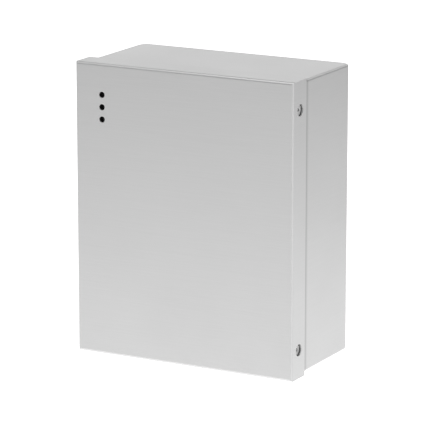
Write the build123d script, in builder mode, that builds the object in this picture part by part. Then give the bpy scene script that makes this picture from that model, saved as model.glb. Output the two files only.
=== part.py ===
from build123d import *
import os

# Wall cabinet of brushed stainless sheet for a small power supply with a sealed back-up battery.
# Frame: +Z up, the front towards -Y. The origin is on the wall, at the middle of the cabinet's back.
# Every size is in millimetres. Distances named "deep" run from the wall towards the front.

# Sheet metal box
sheet = 1.2                   # thickness of the box and of its cover
body_width = 200.0
body_height = 246.0
body_depth = 107.0            # wall to front rim
back_bend = 8.0               # outer radius of the two folds between back and sides
rim_width = 14.0              # front rim, folded inwards all round
rim_bend = 1.8                # outer radius of the rim's folds
weld_round = 2.0              # ground weld along the edges of top and bottom

# Cover
cover_gap = 0.6               # between the flange and the box, on every side
seal_room = 1.8               # between the front rim and the cover's inner face
cover_flange = 23.2           # depth of the tray, outside
cover_bend = 2.2              # outer radius of its folds
seal_play = 0.3               # left between the seal and the rim
seal_width = 8.0
seal_inset = 2.0              # from the edge of the box to the seal

# Lock screws and their bushes
lock_hole = 10.0              # diameter in the cover's flange
lock_from_front = 12.0
lock_from_end = 24.4          # from the cover's top and bottom edges
head_play = 0.4               # between a screw head and the hole that it enters
head_land = 0.3               # straight rim of the countersunk head
seat_play = 0.35              # between a lowered head and its seat
lock_thread = 5.0
lock_length = 13.0
thread_play = 0.08
thread_chamfer = 0.6
lock_socket = 3.0             # across flats
lock_socket_depth = 1.6
bush_diameter = 14.0
bush_length = 6.5

# Indicators
light_count = 3
light_hole = 5.2
light_spacing = 10.4
light_from_left = 25.4
light_from_top = 26.4
light_border = 3.6            # shroud around the outer holes
shroud_depth = 5.0
shroud_corner = 1.2
shroud_wall = 1.4             # front skin of the shroud, with the light windows
led_diameter = 3.0
led_height = 4.4
led_collar = 3.8
led_collar_height = 0.8
led_play = 0.1
light_board_thickness = 1.6
light_board_width = 28.0
light_board_margin = 1.2      # board beyond the shroud
light_stud = 3.0
light_stud_shoulder = 5.5
light_stud_from_end = 4.3     # to the indicator board's upper and lower edges
light_stud_end = 4.2          # thread beyond the board
small_nut_flats = 5.5
small_nut_height = 2.4
header_width = 10.0
header_side = 5.8
header_height = 6.4
header_wall = 0.9
header_pins = 3

# Wall fixing, cable entries and earth
wall_hole = 6.5
wall_hole_from_side = 16.0
wall_hole_from_end = 18.0
entry_hole = 20.0
entry_bore = 12.0
entry_count = 2
entry_room = 45.1             # beside the battery, for the cables
grommet_lip = 3.0             # flange beyond the hole
grommet_lip_height = 1.7
grommet_round = 0.8
grommet_play = 0.1
earth_thread = 5.0
earth_length = 16.0
earth_from_bottom = 66.0
earth_collar = 9.0
earth_collar_height = 1.5
earth_nut_flats = 8.0
earth_nut_height = 4.0
washer_diameter = 11.0
washer_height = 1.0

# Mounting plate
plate_width = 144.0
plate_height = 112.0
plate_sheet = 1.5
plate_from_top = 16.0         # below the inside of the top
plate_margin = 6.0            # stud to the plate's edge
plate_corner = 4.0
plate_stud = 4.0
plate_shoulder = 8.0
plate_standoff = 6.0
plate_stud_end = 5.0          # thread beyond the plate
plate_nut_flats = 7.0
plate_nut_height = 3.2
hole_play = 0.25              # radial play of plain holes
nut_play = 0.1                # radial play drawn in place of a nut's thread

# Power board
plate_beside_board = 6.0      # plate left uncovered at each side of the board
plate_above_board = 10.0      # and above and below it
board_thickness = 1.6
board_standoff = 8.0
board_margin = 5.0            # fixing hole to the board's edge
board_screw = 3.0
board_screw_head = 5.6
board_screw_head_height = 2.0
board_screw_round = 0.7
board_screw_hold = 2.6        # thread in the standoff
screw_slot_width = 0.9
screw_slot_depth = 0.8
standoff_flats = 5.5
standoff_hole_depth = 4.0

# Parts on the power board, with heights measured from its lower edge
core_width = 42.0
core_height = 34.0
core_stack = 15.0
core_leg = 7.0
core_window = 7.0
core_foot = 3.0
coil_play = 0.3
coil_wall = 5.5
coil_round = 1.4
capacitor_diameters = (22.0, 12.5, 12.5)
capacitor_heights = (32.0, 21.0, 21.0)
capacitor_round = 1.2
capacitor_neck = 0.5
capacitor_neck_from_base = 2.6
sink_width = 66.0
sink_base = 3.0
sink_depth = 28.0
fin_count = 8
fin_thickness = 1.6
fin_length = 10.0
sink_from_top = 2.0
transistor_count = 2
transistor_spacing = 28.0
transistor_width = 10.0
transistor_body = 4.4
transistor_height = 9.2
tab_thickness = 1.3
tab_height = 15.6
transistor_legs = 3
transistor_leg = 3.6
transistor_leg_side = 0.65
transistor_leg_spacing = 2.5
relay_width = 19.0
relay_side = 15.4
relay_height = 15.6
relay_round = 0.8
relay_top_round = 0.4
relay_from_bottom = 29.0
choke_diameter = 20.0
choke_bore = 7.0
choke_height = 9.0
choke_round = 2.5
choke_from_bottom = 23.0
fuse_length = 20.0
fuse_diameter = 5.2
fuse_cap = 5.0
fuse_cap_step = 0.25
fuse_play = 0.1
fuse_base_width = 9.0
fuse_base_height = 3.0
fuse_above_base = 1.0
clip_length = 4.6
clip_side = 7.4
clip_above_axis = 1.3
fuse_from_bottom = 21.0
terminal_depth = 11.0
terminal_height = 13.0
terminal_chamfer = 2.0
terminal_from_bottom = 7.0
mains_poles = 3
mains_pole_width = 7.5
output_poles = 4
output_pole_width = 5.6
wire_hole = 3.6
wire_hole_height = 4.0
wire_hole_depth = 6.0
terminal_screw = 3.2
terminal_screw_depth = 3.0
terminal_screw_sunk = 0.8
board_header_from_top = 18.0

# Battery and its bracket
battery_depth = 65.0
battery_round = 2.0
battery_lid_round = 1.0
battery_lid = 8.0             # height of the welded lid
battery_seam = 0.6            # groove under the lid
battery_from_side = 1.5
battery_from_back = 5.8
battery_to_plate = 21.6       # from its lid up to the mounting plate
pad_from_side = 40.5
pad_from_end = 17.0
battery_tab_width = 4.8
battery_tab_thickness = 0.8
battery_tab_height = 6.4
battery_tab_from_end = 12.0
battery_tab_from_front = 12.0
bracket_sheet = 1.5
bracket_width = 60.0
bracket_foot = 20.0
bracket_lip = 14.0
bracket_screw_from_edge = 12.0
bracket_screw = 4.0
bracket_head = 8.0
bracket_head_height = 2.6
bracket_head_round = 1.3
bracket_recess_width = 4.0
bracket_recess_depth = 1.3
bracket_screw_back = 0.2      # left between a screw's end and the wall

os.makedirs("parts", exist_ok=True)


# Planes that face the front: local x is +X, local y is +Z and local z points away from the wall
def facing(deep, x=0.0, z=0.0):
    return Plane(origin=(x, -deep, z), x_dir=(1, 0, 0), z_dir=(0, -1, 0))


# Planes on a side of the box, from its outer face: local z points away from the box
def beside(side, deep, z):
    return Plane(origin=(side * body_width / 2, -deep, z), x_dir=(0, 1, 0), z_dir=(side, 0, 0))


SIDES = {"left": -1, "right": 1}
LEVELS = {"lower": -1, "upper": 1}
ON_TOP = (Align.CENTER, Align.CENTER, Align.MIN)
BELOW = (Align.CENTER, Align.CENTER, Align.MAX)

# Sizes that follow from the ones above
cover_width = body_width + 2 * (cover_gap + sheet)
cover_height = body_height + 2 * (cover_gap + sheet)
front_deep = body_depth + seal_room + sheet
cover_inner_deep = front_deep - sheet
lock_deep = front_deep - lock_from_front
lock_z = cover_height / 2 - lock_from_end
head_radius = lock_hole / 2 - head_play
head_height = head_land + head_radius - lock_thread / 2
inner_floor = sheet - body_height / 2
wall_spacing_x = body_width - 2 * wall_hole_from_side
wall_spacing_z = body_height - 2 * wall_hole_from_end
light_x = light_from_left - cover_width / 2
light_middle = cover_height / 2 - light_from_top - (light_count - 1) * light_spacing / 2
battery_width = body_width - 2 * sheet - battery_from_side - entry_room
battery_height = body_height - 2 * sheet - plate_from_top - plate_height - battery_to_plate
battery_x = (battery_from_side - entry_room) / 2
battery_deep = sheet + battery_from_back
bracket_screw_spread = bracket_width - 2 * bracket_screw_from_edge
grommet_diameter = entry_hole + 2 * grommet_lip
entry_x = body_width / 2 - sheet - entry_room / 2
entry_gap = (front_deep - cover_flange - entry_count * grommet_diameter) / (entry_count + 1)
entry_places = [(entry_x, -(entry_gap + grommet_diameter) * (step + 1) + grommet_diameter / 2)
                for step in range(entry_count)]
plate_z = body_height / 2 - sheet - plate_from_top - plate_height / 2
plate_deep = sheet + plate_standoff
board_deep = plate_deep + plate_sheet + board_standoff
board_face = board_deep + board_thickness
board_width = plate_width - 2 * plate_beside_board
board_height = plate_height - 2 * plate_above_board
board_left = -board_width / 2
board_bottom = plate_z - board_height / 2


# A plane on the power board's front face, at a place measured from its left and lower edges
def on_board(from_left, from_bottom):
    return facing(board_face, board_left + from_left, board_bottom + from_bottom)


# Places from the board's left edge for parts in a row, with equal gaps between them
def in_a_row(*widths):
    gap = (board_width - sum(widths)) / (len(widths) + 1)
    return [gap * (place + 1) + sum(widths[:place]) + width / 2 for place, width in enumerate(widths)]


core_from_left, *capacitor_from_left, board_header_from_left = in_a_row(
    core_width, *capacitor_diameters, header_side)
fuse_from_left, choke_from_left, relay_from_left = in_a_row(
    fuse_length + 2 * fuse_above_base, choke_diameter, relay_width)
sink_from_bottom = board_height - sink_from_top - fin_length - sink_base
core_from_bottom = (fuse_from_bottom + fuse_base_width / 2 + sink_from_bottom) / 2
capacitor_from_bottom = (relay_from_bottom + relay_side / 2 + sink_from_bottom - transistor_body) / 2


# Box: hollow space inside, cut from the block below
with BuildPart() as cavity:
    with BuildSketch(facing(sheet)):
        Rectangle(body_width - 2 * sheet, body_height - 2 * sheet)
    extrude(amount=body_depth - 2 * sheet)
    upright = cavity.edges().filter_by(Axis.Z).group_by(Axis.Y)
    fillet(upright[-1], radius=back_bend - sheet)
    fillet(cavity.faces().sort_by(Axis.Y)[0].edges(), radius=rim_bend - sheet)

# Box: the whole shell, before it is shared out among its three welded sheets
with BuildPart() as shell:
    with BuildSketch(facing(0)):
        Rectangle(body_width, body_height)
    extrude(amount=body_depth)
    upright = shell.edges().filter_by(Axis.Z).group_by(Axis.Y)
    fillet(upright[-1], radius=back_bend)
    for end in (0, -1):
        welded = shell.faces().sort_by(Axis.Z)[end].edges().sort_by(Axis.Y)[1:]
        fillet(welded, radius=weld_round)
    fillet(shell.faces().sort_by(Axis.Y)[0].edges(), radius=rim_bend)
    add(cavity.part, mode=Mode.SUBTRACT)
    with BuildSketch(facing(body_depth - sheet)):
        Rectangle(body_width - 2 * rim_width, body_height - 2 * rim_width)
    extrude(amount=sheet, mode=Mode.SUBTRACT)
    with BuildSketch(facing(0)):
        with GridLocations(wall_spacing_x, wall_spacing_z, 2, 2):
            Circle(wall_hole / 2)
        with Locations(*((battery_x + at * bracket_screw_spread / 2,
                          inner_floor + battery_height + bracket_sheet + bracket_foot / 2)
                         for at in (-1, 1))):
            Circle(bracket_screw / 2 + thread_play)
    extrude(amount=sheet, mode=Mode.SUBTRACT)
    with BuildSketch(Plane.XY.offset(-body_height / 2)):
        with Locations(*entry_places):
            Circle(entry_hole / 2)
    extrude(amount=sheet, mode=Mode.SUBTRACT)
    for side in SIDES.values():
        for level in LEVELS.values():
            with BuildSketch(beside(side, lock_deep, level * lock_z)):
                Circle(head_radius + seat_play)
            extrude(amount=-sheet, mode=Mode.SUBTRACT)

# Box: what its top and bottom sheets take up, each with its own stretch of the rim
with BuildPart() as end_room:
    with Locations(*((0, -body_depth / 2, level * body_height / 2) for level in LEVELS.values())):
        Box(body_width, body_depth, 2 * weld_round)
    with Locations(*((0, -body_depth, level * body_height / 2) for level in LEVELS.values())):
        Box(body_width - 2 * rim_width, 2 * sheet, 2 * rim_width)

# Box: back and sides, folded from one sheet with the rim along the sides
with BuildPart() as cabinet_body:
    add(shell.part)
    add(end_room.part, mode=Mode.SUBTRACT)
cabinet_body.part.label = "cabinet_body"
export_step(cabinet_body.part, "parts/cabinet_body.step")

# Box: top and bottom, each folded from one sheet and welded in
for sheet_name, level in {"cabinet_bottom": "lower", "cabinet_top": "upper"}.items():
    with BuildPart() as cabinet_end:
        add(shell.part)
        add(end_room.part, mode=Mode.INTERSECT)
        with Locations((0, 0, -LEVELS[level] * body_height / 2)):
            Box(2 * body_width, 2 * body_depth, body_height, mode=Mode.SUBTRACT)
    cabinet_end.part.label = sheet_name
    export_step(cabinet_end.part, f"parts/{sheet_name}.step")

# Cover: hollow space inside, cut from the block below
with BuildPart() as cover_hollow:
    with BuildSketch(facing(front_deep - cover_flange)):
        Rectangle(cover_width - 2 * sheet, cover_height - 2 * sheet)
    extrude(amount=cover_flange - sheet)
    fillet(cover_hollow.faces().sort_by(Axis.Y)[0].edges(), radius=cover_bend - sheet)

# Cover: a tray folded from one sheet, with welded corners, light holes and lock holes
with BuildPart() as cover:
    with BuildSketch(facing(front_deep - cover_flange)):
        Rectangle(cover_width, cover_height)
    extrude(amount=cover_flange)
    fillet(cover.faces().sort_by(Axis.Y)[0].edges(), radius=cover_bend)
    add(cover_hollow.part, mode=Mode.SUBTRACT)
    with BuildSketch(facing(cover_inner_deep, light_x, light_middle)):
        with GridLocations(0, light_spacing, 1, light_count):
            Circle(light_hole / 2)
    extrude(amount=sheet, mode=Mode.SUBTRACT)
    for side in SIDES.values():
        for level in LEVELS.values():
            with BuildSketch(beside(side, lock_deep, level * lock_z)):
                Circle(lock_hole / 2)
            extrude(amount=cover_gap + 2 * sheet, mode=Mode.SUBTRACT)
cover.part.label = "cover"
export_step(cover.part, "parts/cover.step")

# Foam seal glued round the inside of the cover, in front of the rim
with BuildPart() as cover_seal:
    with BuildSketch(facing(body_depth + seal_play)):
        Rectangle(body_width - 2 * seal_inset, body_height - 2 * seal_inset)
        Rectangle(body_width - 2 * (seal_inset + seal_width),
                  body_height - 2 * (seal_inset + seal_width), mode=Mode.SUBTRACT)
    extrude(amount=seal_room - seal_play)
cover_seal.part.label = "cover_seal"
export_step(cover_seal.part, "parts/cover_seal.step")

# Lock screws: countersunk heads flush with the box, which turn out into the cover's holes,
# and the threaded bushes welded behind the box's sides
for side_name, side in SIDES.items():
    for level_name, level in LEVELS.items():
        seat = beside(side, lock_deep, level * lock_z)
        with BuildPart(seat) as lock_screw:
            Cylinder(head_radius, head_land, align=BELOW)
            with Locations((0, 0, -head_land)):
                Cone(lock_thread / 2, head_radius, head_height - head_land, align=BELOW)
            Cylinder(lock_thread / 2, lock_length, align=BELOW)
            inner_end = lock_screw.faces().sort_by(Axis((0, 0, 0), (side, 0, 0)))[0]
            chamfer(inner_end.edges(), length=thread_chamfer)
            with BuildSketch(seat):
                RegularPolygon(lock_socket / 2, 6, major_radius=False)
            extrude(amount=-lock_socket_depth, mode=Mode.SUBTRACT)
        lock_screw.part.label = f"lock_screw_{level_name}_{side_name}"
        export_step(lock_screw.part, f"parts/lock_screw_{level_name}_{side_name}.step")

        with BuildPart(seat) as lock_bush:
            with Locations((0, 0, -sheet)):
                Cylinder(bush_diameter / 2, bush_length, align=BELOW)
            Cone(lock_thread / 2, head_radius + seat_play + head_land, head_height + seat_play,
                 align=BELOW, mode=Mode.SUBTRACT)
            Cylinder(lock_thread / 2 + thread_play, sheet + bush_length, align=BELOW,
                     mode=Mode.SUBTRACT)
        lock_bush.part.label = f"lock_bush_{level_name}_{side_name}"
        export_step(lock_bush.part, f"parts/lock_bush_{level_name}_{side_name}.step")

# Indicators, carried by two weld studs on the cover's inner face
light_board_height = (light_count - 1) * light_spacing + light_hole + 2 * (light_border + light_board_margin)
shroud_width = light_hole + 2 * light_border
light_board_x = light_x - shroud_width / 2 - light_board_margin + light_board_width / 2
light_board_deep = cover_inner_deep - shroud_depth
light_stud_x = light_board_x + light_board_width / 2 - light_board_margin - light_stud_shoulder / 2
light_stud_spread = light_board_height - 2 * light_stud_from_end

# Plane on the inner face of the cover that faces the wall: local z runs towards the wall
def behind_cover(deep, x, z):
    return Plane(origin=(x, -deep, z), x_dir=(-1, 0, 0), z_dir=(0, 1, 0))


with BuildPart() as indicator_shroud:
    with BuildSketch(facing(light_board_deep, light_x, light_middle)):
        RectangleRounded(shroud_width, light_board_height - 2 * light_board_margin, shroud_corner)
    extrude(amount=shroud_depth)
    with BuildSketch(facing(light_board_deep, light_x, light_middle)):
        with GridLocations(0, light_spacing, 1, light_count):
            Circle(light_hole / 2)
    extrude(amount=shroud_depth - shroud_wall, mode=Mode.SUBTRACT)
    with BuildSketch(facing(light_board_deep, light_x, light_middle)):
        with GridLocations(0, light_spacing, 1, light_count):
            Circle(led_diameter / 2 + led_play)
    extrude(amount=shroud_depth, mode=Mode.SUBTRACT)
indicator_shroud.part.label = "indicator_shroud"
export_step(indicator_shroud.part, "parts/indicator_shroud.step")

for number in range(light_count):
    place = facing(light_board_deep, light_x, light_middle + (number - (light_count - 1) / 2) * light_spacing)
    with BuildPart(place) as indicator_led:
        Cylinder(led_collar / 2, led_collar_height, align=ON_TOP)
        Cylinder(led_diameter / 2, led_height - led_diameter / 2, align=ON_TOP)
        with Locations((0, 0, led_height - led_diameter / 2)):
            Sphere(led_diameter / 2)
    indicator_led.part.label = f"indicator_led_{number + 1}"
    export_step(indicator_led.part, f"parts/indicator_led_{number + 1}.step")

with BuildPart() as indicator_board:
    with BuildSketch(facing(light_board_deep - light_board_thickness, light_board_x, light_middle)):
        Rectangle(light_board_width, light_board_height)
    extrude(amount=light_board_thickness)
    with BuildSketch(facing(light_board_deep - light_board_thickness, light_stud_x, light_middle)):
        with GridLocations(0, light_stud_spread, 1, 2):
            Circle(light_stud / 2 + hole_play)
    extrude(amount=light_board_thickness, mode=Mode.SUBTRACT)
indicator_board.part.label = "indicator_board"
export_step(indicator_board.part, "parts/indicator_board.step")

with BuildPart() as indicator_studs:
    with BuildSketch(behind_cover(cover_inner_deep, light_stud_x, light_middle)):
        with GridLocations(0, light_stud_spread, 1, 2):
            Circle(light_stud_shoulder / 2)
    extrude(amount=shroud_depth)
    with BuildSketch(behind_cover(cover_inner_deep, light_stud_x, light_middle)):
        with GridLocations(0, light_stud_spread, 1, 2):
            Circle(light_stud / 2)
    extrude(amount=shroud_depth + light_board_thickness + light_stud_end)
indicator_studs.part.label = "indicator_studs"
export_step(indicator_studs.part, "parts/indicator_studs.step")

with BuildPart() as indicator_nuts:
    nut_face = behind_cover(light_board_deep - light_board_thickness, light_stud_x, light_middle)
    with BuildSketch(nut_face):
        with GridLocations(0, light_stud_spread, 1, 2):
            RegularPolygon(small_nut_flats / 2, 6, major_radius=False)
            Circle(light_stud / 2 + nut_play, mode=Mode.SUBTRACT)
    extrude(amount=small_nut_height)
indicator_nuts.part.label = "indicator_nuts"
export_step(indicator_nuts.part, "parts/indicator_nuts.step")

# Shrouded pin headers for the lead between the two boards
header_places = {
    "indicator_header": behind_cover(light_board_deep - light_board_thickness, light_stud_x, light_middle),
    "board_header": on_board(board_header_from_left, board_height - board_header_from_top),
}
for header_name, place in header_places.items():
    with BuildPart(place) as header:
        Box(header_side, header_width, header_height, align=ON_TOP)
        with Locations((0, 0, header_wall)):
            Box(header_side - 2 * header_wall, header_width - 2 * header_wall, header_height,
                align=ON_TOP, mode=Mode.SUBTRACT)
        with GridLocations(0, header_width / (header_pins + 1), 1, header_pins):
            Box(header_wall, header_wall, header_height - header_wall, align=ON_TOP)
    header.part.label = header_name
    export_step(header.part, f"parts/{header_name}.step")

# Mounting plate on four clinched studs
plate_stud_spread_x = plate_width - 2 * plate_margin
plate_stud_spread_z = plate_height - 2 * plate_margin

with BuildPart() as mounting_plate:
    with BuildSketch(facing(plate_deep, 0, plate_z)):
        RectangleRounded(plate_width, plate_height, plate_corner)
        with GridLocations(plate_stud_spread_x, plate_stud_spread_z, 2, 2):
            Circle(plate_stud / 2 + hole_play, mode=Mode.SUBTRACT)
    extrude(amount=plate_sheet)
mounting_plate.part.label = "mounting_plate"
export_step(mounting_plate.part, "parts/mounting_plate.step")

with BuildPart() as plate_studs:
    with BuildSketch(facing(sheet, 0, plate_z)):
        with GridLocations(plate_stud_spread_x, plate_stud_spread_z, 2, 2):
            Circle(plate_shoulder / 2)
    extrude(amount=plate_standoff)
    with BuildSketch(facing(plate_deep, 0, plate_z)):
        with GridLocations(plate_stud_spread_x, plate_stud_spread_z, 2, 2):
            Circle(plate_stud / 2)
    extrude(amount=plate_sheet + plate_stud_end)
plate_studs.part.label = "plate_studs"
export_step(plate_studs.part, "parts/plate_studs.step")

with BuildPart() as plate_nuts:
    with BuildSketch(facing(plate_deep + plate_sheet, 0, plate_z)):
        with GridLocations(plate_stud_spread_x, plate_stud_spread_z, 2, 2):
            RegularPolygon(plate_nut_flats / 2, 6, major_radius=False)
            Circle(plate_stud / 2 + nut_play, mode=Mode.SUBTRACT)
    extrude(amount=plate_nut_height)
plate_nuts.part.label = "plate_nuts"
export_step(plate_nuts.part, "parts/plate_nuts.step")

# Power board on four standoffs
board_spread_x = board_width - 2 * board_margin
board_spread_z = board_height - 2 * board_margin

with BuildPart() as board_standoffs:
    with BuildSketch(facing(plate_deep + plate_sheet, 0, plate_z)):
        with GridLocations(board_spread_x, board_spread_z, 2, 2):
            RegularPolygon(standoff_flats / 2, 6, major_radius=False)
    extrude(amount=board_standoff)
    with BuildSketch(facing(board_deep, 0, plate_z)):
        with GridLocations(board_spread_x, board_spread_z, 2, 2):
            Circle(board_screw / 2 + nut_play)
    extrude(amount=-standoff_hole_depth, mode=Mode.SUBTRACT)
board_standoffs.part.label = "board_standoffs"
export_step(board_standoffs.part, "parts/board_standoffs.step")

with BuildPart() as power_board:
    with BuildSketch(facing(board_deep, 0, plate_z)):
        Rectangle(board_width, board_height)
        with GridLocations(board_spread_x, board_spread_z, 2, 2):
            Circle(board_screw / 2 + hole_play, mode=Mode.SUBTRACT)
    extrude(amount=board_thickness)
power_board.part.label = "power_board"
export_step(power_board.part, "parts/power_board.step")

with BuildPart() as board_screws:
    with BuildSketch(facing(board_face, 0, plate_z)):
        with GridLocations(board_spread_x, board_spread_z, 2, 2):
            Circle(board_screw_head / 2)
    extrude(amount=board_screw_head_height)
    fillet(board_screws.faces().group_by(Axis.Y)[0].edges(), radius=board_screw_round)
    with BuildSketch(facing(board_face, 0, plate_z)):
        with GridLocations(board_spread_x, board_spread_z, 2, 2):
            Circle(board_screw / 2)
    extrude(amount=-board_thickness - board_screw_hold)
    with BuildSketch(facing(board_face + board_screw_head_height, 0, plate_z)):
        with GridLocations(board_spread_x, board_spread_z, 2, 2):
            Rectangle(board_screw_head, screw_slot_width)
    extrude(amount=-screw_slot_depth, mode=Mode.SUBTRACT)
board_screws.part.label = "board_screws"
export_step(board_screws.part, "parts/board_screws.step")

# Transformer: a laminated core with two windows, and the wound bobbin round its middle leg
core_place = on_board(core_from_left, core_from_bottom)
with BuildPart(core_place) as transformer_core:
    with Locations((0, 0, core_foot)):
        Box(core_width, core_stack, core_height, align=ON_TOP)
    window_shift = (core_width - 2 * core_leg - core_window) / 2
    with Locations((-window_shift, 0, core_foot + core_leg), (window_shift, 0, core_foot + core_leg)):
        Box(core_window, core_stack, core_height - 2 * core_leg, align=ON_TOP, mode=Mode.SUBTRACT)
transformer_core.part.label = "transformer_core"
export_step(transformer_core.part, "parts/transformer_core.step")

middle_leg = core_width - 2 * core_leg - 2 * core_window
coil_height = core_height - 2 * core_leg - 2 * coil_play
with BuildPart(core_place) as transformer_coil:
    with Locations((0, 0, core_foot + core_leg + coil_play)):
        Box(middle_leg + 2 * core_window - 2 * coil_play, core_stack + 2 * coil_wall, coil_height,
            align=ON_TOP)
        fillet(transformer_coil.edges().filter_by(Axis.Y), radius=coil_round)
        Box(middle_leg + 2 * coil_play, core_stack + 2 * coil_play, coil_height, align=ON_TOP,
            mode=Mode.SUBTRACT)
    for edge in (-1, 1):
        with Locations((0, edge * (core_stack + coil_wall + coil_play) / 2, 0)):
            Box(core_width - 2 * core_leg, coil_wall - coil_play, core_foot + core_leg + coil_play,
                align=ON_TOP)
transformer_coil.part.label = "transformer_coil"
export_step(transformer_coil.part, "parts/transformer_coil.step")

# Smoothing capacitors: rolled cans with a neck near the base
for number, (diameter, height, from_left) in enumerate(
        zip(capacitor_diameters, capacitor_heights, capacitor_from_left), start=1):
    with BuildPart(on_board(from_left, capacitor_from_bottom)) as smoothing_capacitor:
        Cylinder(diameter / 2, height, align=ON_TOP)
        fillet(smoothing_capacitor.edges(), radius=capacitor_round)
        with Locations((0, 0, capacitor_neck_from_base)):
            Torus(diameter / 2, capacitor_neck, mode=Mode.SUBTRACT)
    smoothing_capacitor.part.label = f"smoothing_capacitor_{number}"
    export_step(smoothing_capacitor.part, f"parts/smoothing_capacitor_{number}.step")

# Heat sink: an extruded comb that stands on the board with its fins up
fin_spacing = (sink_width - fin_thickness) / (fin_count - 1)
with BuildPart() as heat_sink:
    with BuildSketch(on_board(board_width / 2, sink_from_bottom)):
        Rectangle(sink_width, sink_base, align=(Align.CENTER, Align.MIN))
        with Locations((0, sink_base + fin_length / 2)):
            with GridLocations(fin_spacing, 0, fin_count, 1):
                Rectangle(fin_thickness, fin_length)
    extrude(amount=sink_depth)
heat_sink.part.label = "heat_sink"
export_step(heat_sink.part, "parts/heat_sink.step")

with BuildPart(on_board(board_width / 2, sink_from_bottom)) as power_transistors:
    with GridLocations(transistor_spacing, 0, transistor_count, 1):
        with Locations((0, -tab_thickness / 2, transistor_leg)):
            Box(transistor_width, tab_thickness, tab_height, align=ON_TOP)
        with Locations((0, -transistor_body / 2, transistor_leg)):
            Box(transistor_width, transistor_body, transistor_height, align=ON_TOP)
        with Locations((0, -transistor_body / 2, 0)):
            with GridLocations(transistor_leg_spacing, 0, transistor_legs, 1):
                Box(transistor_leg_side, transistor_leg_side, transistor_leg, align=ON_TOP)
power_transistors.part.label = "power_transistors"
export_step(power_transistors.part, "parts/power_transistors.step")

# Relay and choke
with BuildPart(on_board(relay_from_left, relay_from_bottom)) as relay:
    Box(relay_width, relay_side, relay_height, align=ON_TOP)
    fillet(relay.edges().filter_by(Axis.Y), radius=relay_round)
    fillet(relay.faces().sort_by(Axis.Y)[0].edges(), radius=relay_top_round)
relay.part.label = "relay"
export_step(relay.part, "parts/relay.step")

with BuildPart(on_board(choke_from_left, choke_from_bottom)) as choke:
    Cylinder(choke_diameter / 2, choke_height, align=ON_TOP)
    Cylinder(choke_bore / 2, choke_height, align=ON_TOP, mode=Mode.SUBTRACT)
    fillet(choke.edges(), radius=choke_round)
choke.part.label = "choke"
export_step(choke.part, "parts/choke.step")

# Fuse and its holder: two clips on a moulded base
fuse_axis_height = fuse_base_height + fuse_above_base + fuse_diameter / 2
with BuildPart(on_board(fuse_from_left, fuse_from_bottom)) as fuse_holder:
    Box(fuse_length + 2 * fuse_above_base, fuse_base_width, fuse_base_height, align=ON_TOP)
    with GridLocations(fuse_length - clip_length, 0, 2, 1):
        Box(clip_length, clip_side, fuse_axis_height + clip_above_axis, align=ON_TOP)
    with Locations((0, 0, fuse_axis_height)):
        Cylinder(fuse_diameter / 2 + fuse_play, 2 * fuse_length, rotation=(0, 90, 0), mode=Mode.SUBTRACT)
fuse_holder.part.label = "fuse_holder"
export_step(fuse_holder.part, "parts/fuse_holder.step")

with BuildPart(on_board(fuse_from_left, fuse_from_bottom)) as glass_fuse:
    with Locations((0, 0, fuse_axis_height)):
        Cylinder(fuse_diameter / 2 - fuse_cap_step, fuse_length, rotation=(0, 90, 0))
    with Locations((0, 0, fuse_axis_height)):
        with GridLocations(fuse_length - fuse_cap, 0, 2, 1):
            Cylinder(fuse_diameter / 2, fuse_cap, rotation=(0, 90, 0))
glass_fuse.part.label = "glass_fuse"
export_step(glass_fuse.part, "parts/glass_fuse.step")

# Screw terminals along the board's lower edge: wires enter from below, screws face the front
terminals = {
    "mains_terminals": (mains_poles, mains_pole_width, fuse_from_left),
    "output_terminals": (output_poles, output_pole_width, relay_from_left),
}
for terminal_name, (poles, pole_width, from_left) in terminals.items():
    place = on_board(from_left, terminal_from_bottom)
    with BuildPart(place) as terminal_block:
        Box(poles * pole_width, terminal_depth, terminal_height, align=ON_TOP)
        lower_front = terminal_block.edges().filter_by(Axis.X).group_by(Axis.Z)[0].sort_by(Axis.Y)[0]
        chamfer(lower_front, length=terminal_chamfer)
        with Locations((0, 0, terminal_height)):
            with GridLocations(pole_width, 0, poles, 1):
                Cylinder(terminal_screw / 2 + nut_play, terminal_screw_depth, align=BELOW,
                         mode=Mode.SUBTRACT)
        with Locations((0, -terminal_depth / 2, wire_hole_height)):
            with GridLocations(pole_width, 0, poles, 1):
                Box(wire_hole, 2 * wire_hole_depth, wire_hole, mode=Mode.SUBTRACT)
    terminal_block.part.label = terminal_name
    export_step(terminal_block.part, f"parts/{terminal_name}.step")

with BuildPart() as terminal_screws:
    for poles, pole_width, from_left in terminals.values():
        screw_face = board_face + terminal_height - terminal_screw_sunk
        screw_plane = facing(screw_face, board_left + from_left, board_bottom + terminal_from_bottom)
        with BuildSketch(screw_plane):
            with GridLocations(pole_width, 0, poles, 1):
                Circle(terminal_screw / 2)
        extrude(amount=terminal_screw_sunk - terminal_screw_depth)
        with BuildSketch(screw_plane):
            with GridLocations(pole_width, 0, poles, 1):
                Rectangle(terminal_screw, screw_slot_width)
        extrude(amount=-screw_slot_depth, mode=Mode.SUBTRACT)
terminal_screws.part.label = "terminal_screws"
export_step(terminal_screws.part, "parts/terminal_screws.step")

# Battery: a moulded case with a welded lid, stood on the floor of the box
with BuildPart(Plane.XY.offset(inner_floor)) as battery:
    with Locations((battery_x, -battery_deep - battery_depth / 2)):
        Box(battery_width, battery_depth, battery_height, align=ON_TOP)
    fillet(battery.edges().filter_by(Axis.Z), radius=battery_round)
    fillet(battery.faces().sort_by(Axis.Z)[-1].edges(), radius=battery_lid_round)
    with Locations((battery_x, -battery_deep - battery_depth / 2, battery_height - battery_lid)):
        Box(battery_width, battery_depth, battery_seam, mode=Mode.SUBTRACT)
        Box(battery_width - 2 * battery_seam, battery_depth - 2 * battery_seam, battery_seam)
battery.part.label = "battery"
export_step(battery.part, "parts/battery.step")

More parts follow.
